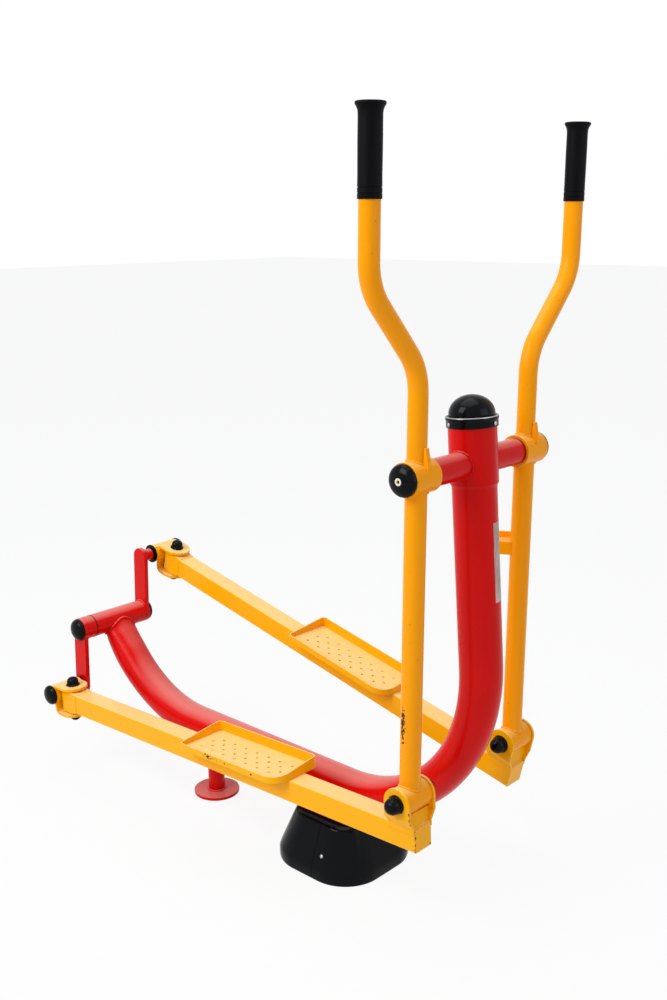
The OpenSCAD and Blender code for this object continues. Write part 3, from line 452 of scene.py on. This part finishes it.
# %% Rounding the edges of a CAD node
def softened(node, width, segments=2):
    """A copy of a CAD node with its sharp edges rounded by a width in millimetres and marked as worn."""
    bm = bmesh.new()
    bm.from_mesh(frame["nodes"][node].data)
    bmesh.ops.scale(bm, vec=(1000, 1000, 1000), verts=bm.verts)
    bmesh.ops.remove_doubles(bm, verts=bm.verts, dist=0.01)
    bmesh.ops.dissolve_limit(bm, angle_limit=math.radians(1.5), verts=bm.verts, edges=bm.edges)
    corners = [e for e in bm.edges if len(e.link_faces) == 2 and e.calc_face_angle(0) > math.radians(30)]
    worn = bm.loops.layers.float.new("worn")
    made = bmesh.ops.bevel(
        bm, geom=corners, offset=width, offset_type="OFFSET", segments=segments, profile=0.5, affect="EDGES",
        clamp_overlap=False, material=-1,
    )
    for face in made["faces"]:
        for corner in face.loops:
            corner[worn] = 1.0
    piece = make_piece(
        node + "_dressed", bm, BODY_OF[node], SLOT_OF[node], finish=coat_of(node), stands_for=[node]
    )
    even = piece.modifiers.new("even light on the flats", "WEIGHTED_NORMAL")
    even.keep_sharp = True
    return piece


# %% [markdown]
# The width of the rounding follows the stock: a laser-cut plate has about 1 mm, and a sawn tube end less. The
# base cover is a moulding in two halves, so its seam shows as a fine dark line between two small roundings.

# %% Pieces that keep the CAD shape
ROUNDED = {
    "head_sleeve": 0.8, "cross_tube": 0.6, "pivot_axle": 0.8, "crank_housing": 0.8, "crank_bearings": 0.4,
    "front_leg": 0.5, "base_plate": 1.0, "rear_leg": 0.5, "rear_foot": 1.2, "crank_shaft": 0.8, "crank_hubs": 0.5,
    "crank_arm_right": 1.2, "crank_arm_left": 1.2, "stop_bracket": 0.9, "base_cover_front": 0.9,
    "base_cover_rear": 0.9, "cap_screws": 0.2, "cover_screws": 0.2,
}
ROUNDED_BOTH_SIDES = {
    "yoke": 1.1, "crank_pin": 0.8, "swivel_pin": 0.6, "beam": 0.4, "beam_eye": 1.2, "eye_bushes": 0.3,
    "clevis": 0.9, "tray": 0.7, "pivot_bolt": 0.8, "arm_tube": 0.4, "arm_hub": 0.8, "hub_bearings": 0.4,
    "lower_bush": 0.8,
}
for word in SIDES:
    ROUNDED.update({f"{node}_{word}": width for node, width in ROUNDED_BOTH_SIDES.items()})
for node, width in ROUNDED.items():
    softened(node, width)
print(len(ROUNDED), "pieces with rounded edges")

# %% [markdown]
# Bent tubes come next. A tube could be a curve with a round bevel, but a bending press flattens it in its
# bends, and a curve can't show that. So a ring is extruded from station to station along the path, and each
# station says how wide and deep the ring is there.

# %% Bent tubes
def bent_path(points, radii, step=4):
    """Stations of a path with rounded corners, as [point, heading, share], where share is 1 in a bend's middle."""
    headings = [math.atan2(*reversed(b - a)) for a, b in zip(points, points[1:])]
    stations = [(points[0], headings[0], 0)]
    for corner, radius, before, after in zip(points[1:], radii, headings, headings[1:]):
        turn = after - before
        start = corner - radius * math.tan(abs(turn) / 2) * Vector((math.cos(before), math.sin(before)))
        side = math.copysign(radius, turn)
        centre = start + side * Vector((-math.sin(before), math.cos(before)))
        count = math.ceil(abs(math.degrees(turn)) / step)
        for i in range(count + 1):
            angle = before + turn * i / count
            point = centre - side * Vector((-math.sin(angle), math.cos(angle)))
            stations.append((point, angle, math.sin(math.pi * i / count)))
    return stations + [(points[-1], headings[-1], 0)]


def ring_place(point, heading, width, depth):
    """The place of a tube's ring in the XZ plane: width lies in that plane and depth lies along Y."""
    ahead = Vector((math.cos(heading), 0, math.sin(heading)))
    across = Vector((-math.sin(heading), 0, math.cos(heading)))
    axes = Matrix((across * width, Vector((0, depth, 0)), ahead)).transposed().to_4x4()
    return Matrix.Translation((point.x, 0, point.y)) @ axes


def sweep(places, sides=48):
    """A tube through a list of ring places."""
    bm = bmesh.new()
    bmesh.ops.create_circle(bm, segments=sides, radius=1)
    bmesh.ops.transform(bm, matrix=places[0], verts=bm.verts)
    edges = list(bm.edges)
    for last, place in zip(places, places[1:]):
        made = bmesh.ops.extrude_edge_only(bm, edges=edges)["geom"]
        verts = [g for g in made if isinstance(g, bmesh.types.BMVert)]
        edges = [g for g in made if isinstance(g, bmesh.types.BMEdge) and g.is_boundary]
        bmesh.ops.transform(bm, matrix=place @ last.inverted(), verts=verts)
    bmesh.ops.recalc_face_normals(bm, faces=bm.faces)
    return bm


# %% [markdown]
# The main tube is one length of 89 mm tube with two bends. The press leaves it 9% flatter in the middle of each
# bend. At the rear it is squeezed flat to sit on the bearing housing, which leaves a soft ridge along its side.
# The squeezed end follows the housing: it starts on the housing's surface instead of on its axis.

# %% Main tube
TUBE_R, HOUSING_R, STRAIGHT, BEND_FLAT = 44.5, 30.3, 48, 0.09
SQUEEZED, SQUEEZE_REACH = 0.654, 120
run_points = [Vector(p) for p in ((crank_x, crank_z), (-702, 170), (403, 170), (pivot_x, pivot_z))]
run_points[3] -= 30 * (run_points[3] - run_points[2]).normalized()
down = (run_points[1] - run_points[0]).normalized()


def squeeze(walked):
    """How flat the tube is at a distance from the housing: squeezed at the housing, and 1 past the reach."""
    share = min(walked / SQUEEZE_REACH, 1)
    return SQUEEZED + (1 - SQUEEZED) * share * share * (3 - 2 * share)


path = [(run_points[0] + d * down, math.atan2(down.y, down.x), 0) for d in range(0, STRAIGHT, 6)]
path += bent_path(run_points, (380, 370), step=2)[1:]
places, walked = [], 0.0
for before, (point, heading, share) in zip([path[0]] + path, path):
    walked += (point - before[0]).length
    places.append(ring_place(point, heading, TUBE_R * (1 - BEND_FLAT * share) * squeeze(walked), TUBE_R))
bm = sweep(places, sides=64)
ahead, across = Vector((down.x, 0, down.y)), Vector((-down.y, 0, down.x))
for vert in bm.verts:
    offset = vert.co - Vector((crank_x, 0, crank_z))
    along, aside = offset.dot(ahead), offset.dot(across)
    if along < STRAIGHT and offset.length < 2 * STRAIGHT:
        face = math.sqrt(HOUSING_R**2 - (aside / squeeze(along) * squeeze(0)) ** 2)
        vert.co += face * (1 - along / STRAIGHT) * ahead
make_piece("main_tube_dressed", bm, "frame", "red_coat", stands_for=["main_tube"], sharp=50)
print(len(places), "rings in the main tube,", round(walked), "mm along its axis")

# %% [markdown]
# The handles are thinner tube with two equal bends each, which carry the grips outwards. They are bent round a
# former, and so they stay round.

# %% Handles
HANDLE_R, HANDLE_BEND, GRIP_OUT = 19, 110, 139
ACROSS = Matrix.Rotation(math.radians(90), 4, "Z")
for word in SIDES:
    corners = ((ARM_Y, 22), (ARM_Y, 198), (ARM_Y + GRIP_OUT, 349), (ARM_Y + GRIP_OUT, 641))
    stations = bent_path([Vector(corner) for corner in corners], (HANDLE_BEND, HANDLE_BEND))
    rings = [ring_place(point, heading, HANDLE_R, HANDLE_R) for point, heading, share in stations]
    node = "handle_" + word
    # The handles take the arms' coat with its painted shade.
    make_piece(node + "_dressed", sweep(rings), BODY_OF[node], "yellow_coat", ARM[word] @ ACROSS, arms_painted_shade_coat, [node])
print(len(rings), "rings in each handle")

# %% [markdown]
# Caps, grips, rings and seals are all round, so each is a profile that is spun once round an axis. A rim that a
# hand has to grip has scallops, which are pressed into the spun shape.

# %% Turned shapes
OUTWARD = Matrix.Rotation(math.radians(-90), 4, "X")


def lathe(bm, profile, where=Matrix.Identity(4), steps=72, ribs=None):
    """Adds a profile of [radius, height] points turned once round Z. Ribs are [count, low, high, depth]."""
    points = [bm.verts.new((r, 0, z)) for r, z in profile]
    lines = [bm.edges.new(pair) for pair in zip(points, points[1:])]
    before = set(bm.verts) - set(points)
    bmesh.ops.spin(
        bm, geom=points + lines, cent=(0, 0, 0), axis=(0, 0, 1), dvec=(0, 0, 0), angle=math.tau, steps=steps,
        use_merge=True,
    )
    made = [v for v in bm.verts if v not in before]
    if ribs:
        count, low, high, depth = ribs
        for vert in made:
            if low <= vert.co.z <= high:
                turn = math.atan2(vert.co.y, vert.co.x)
                vert.co.xy *= 1 - depth * (0.5 + 0.5 * math.cos(count * turn))
    bmesh.ops.transform(bm, matrix=where, verts=made)
    bmesh.ops.remove_doubles(bm, verts=bm.verts, dist=0.001)
    bmesh.ops.recalc_face_normals(bm, faces=bm.faces)
    return bm


def dome(radius, skirt, height, top=0.0, steps=7):
    """Profile of a cap: an upright skirt, and an elliptic dome that stops at the radius top."""
    profile = [(radius - 0.6, 0), (radius, 0.6), (radius, skirt)]
    last = math.acos(top / (radius - 1))
    for i in range(1, steps + 1):
        turn = last * i / steps
        profile.append(((radius - 1) * math.cos(turn), skirt + 0.8 + (height - skirt - 0.8) * math.sin(turn)))
    return profile


def nut_cover(radius, foot, skirt, height):
    """Profile of a tall cap with a flared foot."""
    return [
        (radius - 0.5, 0), (radius, 0.8), (radius - 0.4, foot), (radius - 2.6, foot + 2), (radius - 3, skirt),
        (radius - 4.2, skirt + 0.35 * (height - skirt)), (radius - 8, skirt + 0.75 * (height - skirt)),
        (radius - 13, height - 0.3), (0, height),
    ]


# %% [markdown]
# The cap of each arm's hub is a shallow dome with a scalloped rim. One screw holds it in a pale nylon washer,
# so the dome stops at a well, and the washer is a ring in that well.

# %% Caps on the arms' hubs
HUB_FACE = 214
WELL = [(7.4, 17.2), (6.9, 13.4), (0, 13.4)]
WASHER = [(3.3, 14.2), (3.3, 17.1), (3.9, 17.7), (6.6, 17.7), (7.3, 17.1), (7.3, 14.2), (3.3, 14.2)]
for word in SIDES:
    hub_face = ARM[word] @ moved(y=HUB_FACE)
    bm = lathe(bmesh.new(), dome(31.5, 4.2, 17.5, 7.5), OUTWARD, steps=96, ribs=(24, 0.3, 4.5, 0.03))
    lathe(bm, WELL, OUTWARD, steps=32)
    name = "hub_cap_" + word
    make_piece(name + "_dressed", bm, "arm_" + word, "black_plastic", hub_face, stands_for=[name])
    washer = lathe(bmesh.new(), WASHER, OUTWARD, steps=32)
    make_piece("hub_washer_" + word, washer, "arm_" + word, "black_plastic", hub_face, nylon)
print("hub caps", HUB_FACE, "mm from the middle")

# %% [markdown]
# The small caps on the bolts and the swivel pins are tall nut covers with a flared foot. The crank's and the
# yokes' large caps are domes. A thin disc closes the inner end of each yoke's hub.

# %% Caps on the beams, the yokes and the crank
EAR_FACE, DISC_FACE, YOKE_FACE, YOKE_EAR = 42, 125.4, 215.4, 39.3
CRANK_FACES = {"right": (109, 121), "left": (84.5, 96.5)}  # inner and outer face of each crank arm
DISC = [(0, 0.2), (24.4, 0.2), (25, 0.8), (25, 3.2), (24.4, 3.8), (0, 3.8)]
for word in SIDES:
    bm = bmesh.new()
    for flip in (Matrix.Identity(4), Matrix.Scale(-1, 4, (0, 1, 0))):
        ear = flip @ Matrix.Translation((0, EAR_FACE, 0)) @ OUTWARD
        lathe(bm, nut_cover(20, 3, 13, 26), ear, steps=48, ribs=(12, 0.5, 3.5, 0.05))
    name = "bolt_caps_" + word
    bolt = BEAM[word] @ moved(x=BOLT_RUN, z=BOLT_RISE)
    make_piece(name + "_dressed", bm, "pedal_" + word, "black_plastic", bolt, stands_for=[name])

    bm = lathe(bmesh.new(), DISC, Matrix.Translation((0, DISC_FACE, 0)) @ OUTWARD)
    hub_end = Matrix.Translation((0, YOKE_FACE, 0)) @ OUTWARD
    lathe(bm, dome(26, 4, 15), hub_end, steps=96, ribs=(20, 0.3, 4.3, 0.03))
    swivel, upper = Matrix.Translation((SWIVEL_FWD, ARM_Y, -PIN_RISE)), Matrix.Translation((0, 0, YOKE_EAR))
    lathe(bm, nut_cover(18, 3, 12, 22), swivel @ upper, steps=48)
    lathe(bm, nut_cover(17, 3, 9, 20), swivel @ Matrix.Scale(-1, 4, (0, 0, 1)) @ upper, steps=48)
    name = "yoke_caps_" + word
    make_piece(name + "_dressed", bm, "swivel_" + word, "black_plastic", PIN[word], stands_for=[name])

bm = bmesh.new()
for word, side in SIDES.items():
    place = Matrix.Scale(side, 4, (0, 1, 0)) @ Matrix.Translation((0, CRANK_FACES[word][1], 0)) @ OUTWARD
    lathe(bm, dome(29, 4, 17), place, steps=96, ribs=(22, 0.3, 4.3, 0.03))
make_piece("crank_caps_dressed", bm, "crank", "black_plastic", CRANK["left"], stands_for=["crank_caps"])
print("caps on", len(SIDES), "beams and yokes, and on the crank")

# %% [markdown]
# A rubber seal shows as a dark line where the right hub turns against the bearing housing. On the left the
# crank arm hides it.

# %% Seal of the crank
SEAL = [(29, 81.2), (30.3, 81.2), (30.6, 81.9), (30.6, 83.1), (30.3, 83.8), (29, 83.8)]
make_piece("crank_seal_right", lathe(bmesh.new(), SEAL, OUTWARD), "frame", "black_rubber", CRANK["right"])
print("seal", round(SEAL[-1][1] - SEAL[0][1], 1), "mm wide")

# %% [markdown]
# The head of the post has a collar with a small lip, a thin steel trim ring that catches the light, and a
# glossy dome that is nearly a half sphere.

# %% Collar, trim ring and dome
COLLAR_Z, DOME_Z, DOME_R, DOME_RISE = 71, 91, 45.5, 37
collar = [(48.2, 0), (50.4, 0), (51, 0.6), (51, 13.4), (51.4, 14.2), (52, 15), (52, 18.6), (51.2, 20), (45, 20)]
trim = [(49.4, 19.8), (49.6, 20.9), (50.4, 21.4), (51.4, 20.9), (51.7, 19.6)]
quarter = [i / 14 * math.pi / 2 for i in range(15)]
rise = [(DOME_R * math.cos(turn), DOME_Z + 5 + DOME_RISE * math.sin(turn)) for turn in quarter]
for name, profile, slot, node in (
    ("cap_collar_dressed", [(r, COLLAR_Z + z) for r, z in collar], "black_plastic", ["cap_collar"]),
    ("cap_dome_dressed", [(45.2, DOME_Z - 0.2), (45.5, DOME_Z + 0.6)] + rise, "black_plastic", ["cap_dome"]),
    ("collar_trim", [(r, COLLAR_Z + z) for r, z in trim], "steel", []),
):
    sharp = 50 if node == ["cap_dome"] else 32
    make_piece(name, lathe(bmesh.new(), profile, steps=96), "frame", slot, HEAD, stands_for=node, sharp=sharp)
print("the dome's top is", DOME_Z + 5 + DOME_RISE, "mm above the pivot")

# %% [markdown]
# A rubber grip is moulded in one piece: a flared collar keeps the hand from slipping off, two fine ribs mark its
# lower end, and between them it swells a little in the middle of the palm.

# %% Grips
GRIP = [
    (19.2, 493), (20.6, 493), (21, 493.8), (21, 501.6), (20.3, 502.2), (20.3, 503), (21, 503.6), (21, 510.8),
    (20.2, 511.4), (20.2, 512.4), (20.9, 513), (20.7, 530), (20.9, 560), (21, 590), (20.8, 615), (20.9, 628),
    (21.6, 633), (23.4, 637.4), (25.4, 640.4), (26, 641.6), (26, 644.4), (25.4, 645.6), (23.5, 646.4), (0, 647),
]
for word in SIDES:
    node = "grip_" + word
    grip = lathe(bmesh.new(), GRIP, Matrix.Translation((0, ARM_Y + GRIP_OUT, 0)), steps=64)
    make_piece(node + "_dressed", grip, BODY_OF[node], "black_rubber", ARM[word], stands_for=[node], sharp=40)
print("grip length in mm:", GRIP[-1][1] - GRIP[0][1])

# %% [markdown]
# Every joint between tubes and plates is welded by hand under the powder coat, so each has a soft rippled bead
# of its own colour. A bead is a curve with a round bevel, and the radius of its points goes up and down every
# few millimetres, which gives the ripples. It is then made a mesh.

# %% Laying a weld bead
RIPPLE_MM = 1.6


def bead(name, node, lines, width, where=Matrix.Identity(4), closed=True):
    """Weld beads along lines of points, with ripples that are about 3 mm long."""
    curve = bpy.data.curves.new(name, "CURVE")
    curve.dimensions, curve.bevel_depth, curve.bevel_resolution = "3D", width, 2
    for points in lines:
        fine, ends = [], points[1:] + points[:1] if closed else points[1:]
        for a, b in zip(points, ends):
            a, b = Vector(a), Vector(b)
            count = max(1, round((b - a).length / RIPPLE_MM))
            fine += [a.lerp(b, i / count) for i in range(count)]
        spline = curve.splines.new("POLY")
        spline.points.add(len(fine) - 1)
        for i, point in enumerate(fine):
            spline.points[i].co = (*point, 1)
            spline.points[i].radius = (1.12, 0.86)[i % 2] * (1 + 0.08 * math.sin(i * 0.9))
        spline.use_cyclic_u = closed
    bm = bmesh.new()
    bm.from_mesh(bpy.data.meshes.new_from_object(bpy.data.objects.new(name, curve)))
    return make_piece(name, bm, BODY_OF[node], SLOT_OF[node], where, coat_of(node), sharp=60)


def loop(place, count=40):
    """Points of a closed line, from a function of the angle's cosine and sine."""
    return [place(math.cos(math.tau * i / count), math.sin(math.tau * i / count)) for i in range(count)]


def arch(radius, aside):
    """The height of a round surface over its axis, at a distance to the side of the axis."""
    return math.sqrt(radius**2 - aside**2)


# %% [markdown]
# The lines of the beads follow the places where the CAD surfaces meet. Where two tubes cross, that line is a
# saddle: the smaller tube gives two of its coordinates, and the round of the larger one gives the third. The
# sleeve's lower edge has a ground fillet instead, which is turned.

# %% Welds on the frame
FILLET = [(47.6, -38.8), (47.2, -40.4), (46.2, -42.2), (45.2, -44.4), (44.4, -47.6)]
LEG_R, REAR_LEG_X, AXIS_Z = 38, -445, 169.6
make_piece("weld_sleeve", lathe(bmesh.new(), FILLET, steps=96), "frame", "red_coat", HEAD, sharp=60)
bead("weld_cross_tube", "cross_tube", [
    loop(lambda c, s, way=way: (27.6 * c, way * (arch(48, 27 * c) + 0.6), 27.6 * s)) for way in (-1, 1)
], 2.6, HEAD)
tail = at(crank_x, crank_z, down)
bead("weld_housing", "main_tube", [loop(lambda c, s: (arch(30, 29 * c) + 1.4, 45 * s, 29.6 * c))], 3, tail)
bead("weld_front_leg", "front_leg", [
    loop(lambda c, s: ((LEG_R + 0.8) * c, (LEG_R + 0.8) * s, AXIS_Z - arch(TUBE_R, LEG_R * s)))
], 2.6)
bead("weld_rear_leg", "rear_leg", [
    loop(lambda c, s: (REAR_LEG_X + 21.6 * c, 21.6 * s, AXIS_Z - arch(TUBE_R, 21 * s))),
    loop(lambda c, s: (REAR_LEG_X + 21.8 * c, 21.8 * s, 8.6)),
], 2.4)
print("welds on the frame")

# %% [markdown]
# A crank arm is a plate that is welded round its hub at one end and round its pin at the other. A yoke's strap
# is welded across its hub, above and below. Each beam has a bead round its rear eye block, one in front of its
# clevis, and two stitches that hold the tray.

# %% Welds on the crank, the yokes and the beams
CRANK_LEN, CRANK_LEAN, CRANK_HALF = 158, math.radians(2), 22
BEAM_HALF, EYE_END = 25, 89
for word, side in SIDES.items():
    inner, outer = CRANK_FACES[word]
    tip_x, tip_z = side * CRANK_LEN * math.sin(CRANK_LEAN), side * CRANK_LEN * math.cos(CRANK_LEAN)
    across = range(-CRANK_HALF, CRANK_HALF + 1, 4)
    bead("weld_crank_" + word, "crank_arm_" + word, [
        loop(lambda c, s: (tip_x + 16.4 * c, outer + 0.4, tip_z + 16.4 * s)),
        [(x, inner - 0.6, side * arch(31, x)) for x in across]
        + [(-x, inner - 0.6, side * arch(30, x)) for x in across],
    ], 1.9, CRANK[word])
    bead("weld_yoke_" + word, "yoke_" + word, [
        [(10.2, 143, z), (10.2, 213, z), (10.2, 213, z * 1.03), (10.2, 143, z * 1.03)] for z in (-22.2, 22.2)
    ], 1.8, PIN[word])
    octagon = ((-1, -0.9), (-0.9, -1), (0.9, -1), (1, -0.9), (1, 0.9), (0.9, 1), (-0.9, 1), (-1, 0.9))
    bead("weld_beam_" + word, "beam_" + word, [
        [(EYE_END, BEAM_HALF * y, BEAM_HALF * z) for y, z in octagon]
    ], 1.7, BEAM[word])
    for name, line in {
        "clevis_front": [(1216.6, y, 25.4) for y in range(-23, 24, 5)],
        "tray_near": [(x, 25.4, 24.4) for x in range(590, 640, 8)],
        "tray_far": [(x, 25.4, 24.4) for x in range(790, 840, 8)],
    }.items():
        bead(f"weld_{name}_{word}", "clevis_" + word, [line], 2.1, BEAM[word], closed=False)
print("welds on the crank, the yokes and the beams")

# %% [markdown]
# Each arm has three beads: where its lower tube and its handle meet the hub, and where the lower tube meets the
# bush at the bolt. The stop bracket is turned on the left arm, so its bead is drawn in a turned frame.

# %% Welds on the arms
for word in SIDES:
    bead("weld_arm_" + word, "arm_tube_" + word, [
        loop(lambda c, s: (21.4 * c, ARM_Y + 21.4 * s, -arch(33, 21 * c) - 0.4)),
        loop(lambda c, s: (19.4 * c, ARM_Y + 19.4 * s, arch(33, 19 * c) + 0.4)),
        loop(lambda c, s: (21.4 * c, ARM_Y + 21.4 * s, -ARM_LEN + arch(29, 21 * c) + 0.4)),
    ], 2.2, ARM[word])
STOP_FOOT, STOP_TURN = -226, math.radians(-60)
turned = ARM["left"] @ moved(y=ARM_Y, z=STOP_FOOT) @ Matrix.Rotation(STOP_TURN, 4, "Z")
bead("weld_stop", "stop_bracket", [[(12.4, -16.6, z) for z in range(1, 28, 5)]], 1.8, turned, closed=False)
print("welds on the arms")

# %% [markdown]
# A pale strip of label film is wrapped round the post below the left arm's hub. It is bare, because this part
# carries no lettering. It is drawn as a flat sheet, rolled onto the tube, and then given its thickness.

# %% Bare label strip
LABEL_R, LABEL_TURN, LABEL_SPREAD, LABEL_Z, LABEL_TALL = 44.6, 26, 62, -197, 160
bm = bmesh.new()
bmesh.ops.create_grid(bm, x_segments=24, y_segments=8, size=0.5)
for vert in bm.verts:
    turn = math.radians(LABEL_TURN + LABEL_SPREAD * vert.co.x)
    vert.co = (LABEL_R * math.cos(turn), LABEL_R * math.sin(turn), LABEL_Z + LABEL_TALL * vert.co.y)
bmesh.ops.solidify(bm, geom=bm.faces[:] + bm.edges[:] + bm.verts[:], thickness=-0.35)
bmesh.ops.recalc_face_normals(bm, faces=bm.faces)
make_piece("label_strip", bm, "frame", "black_plastic", HEAD, finish=label_film, sharp=40)
print("label strip", LABEL_TALL, "mm tall")
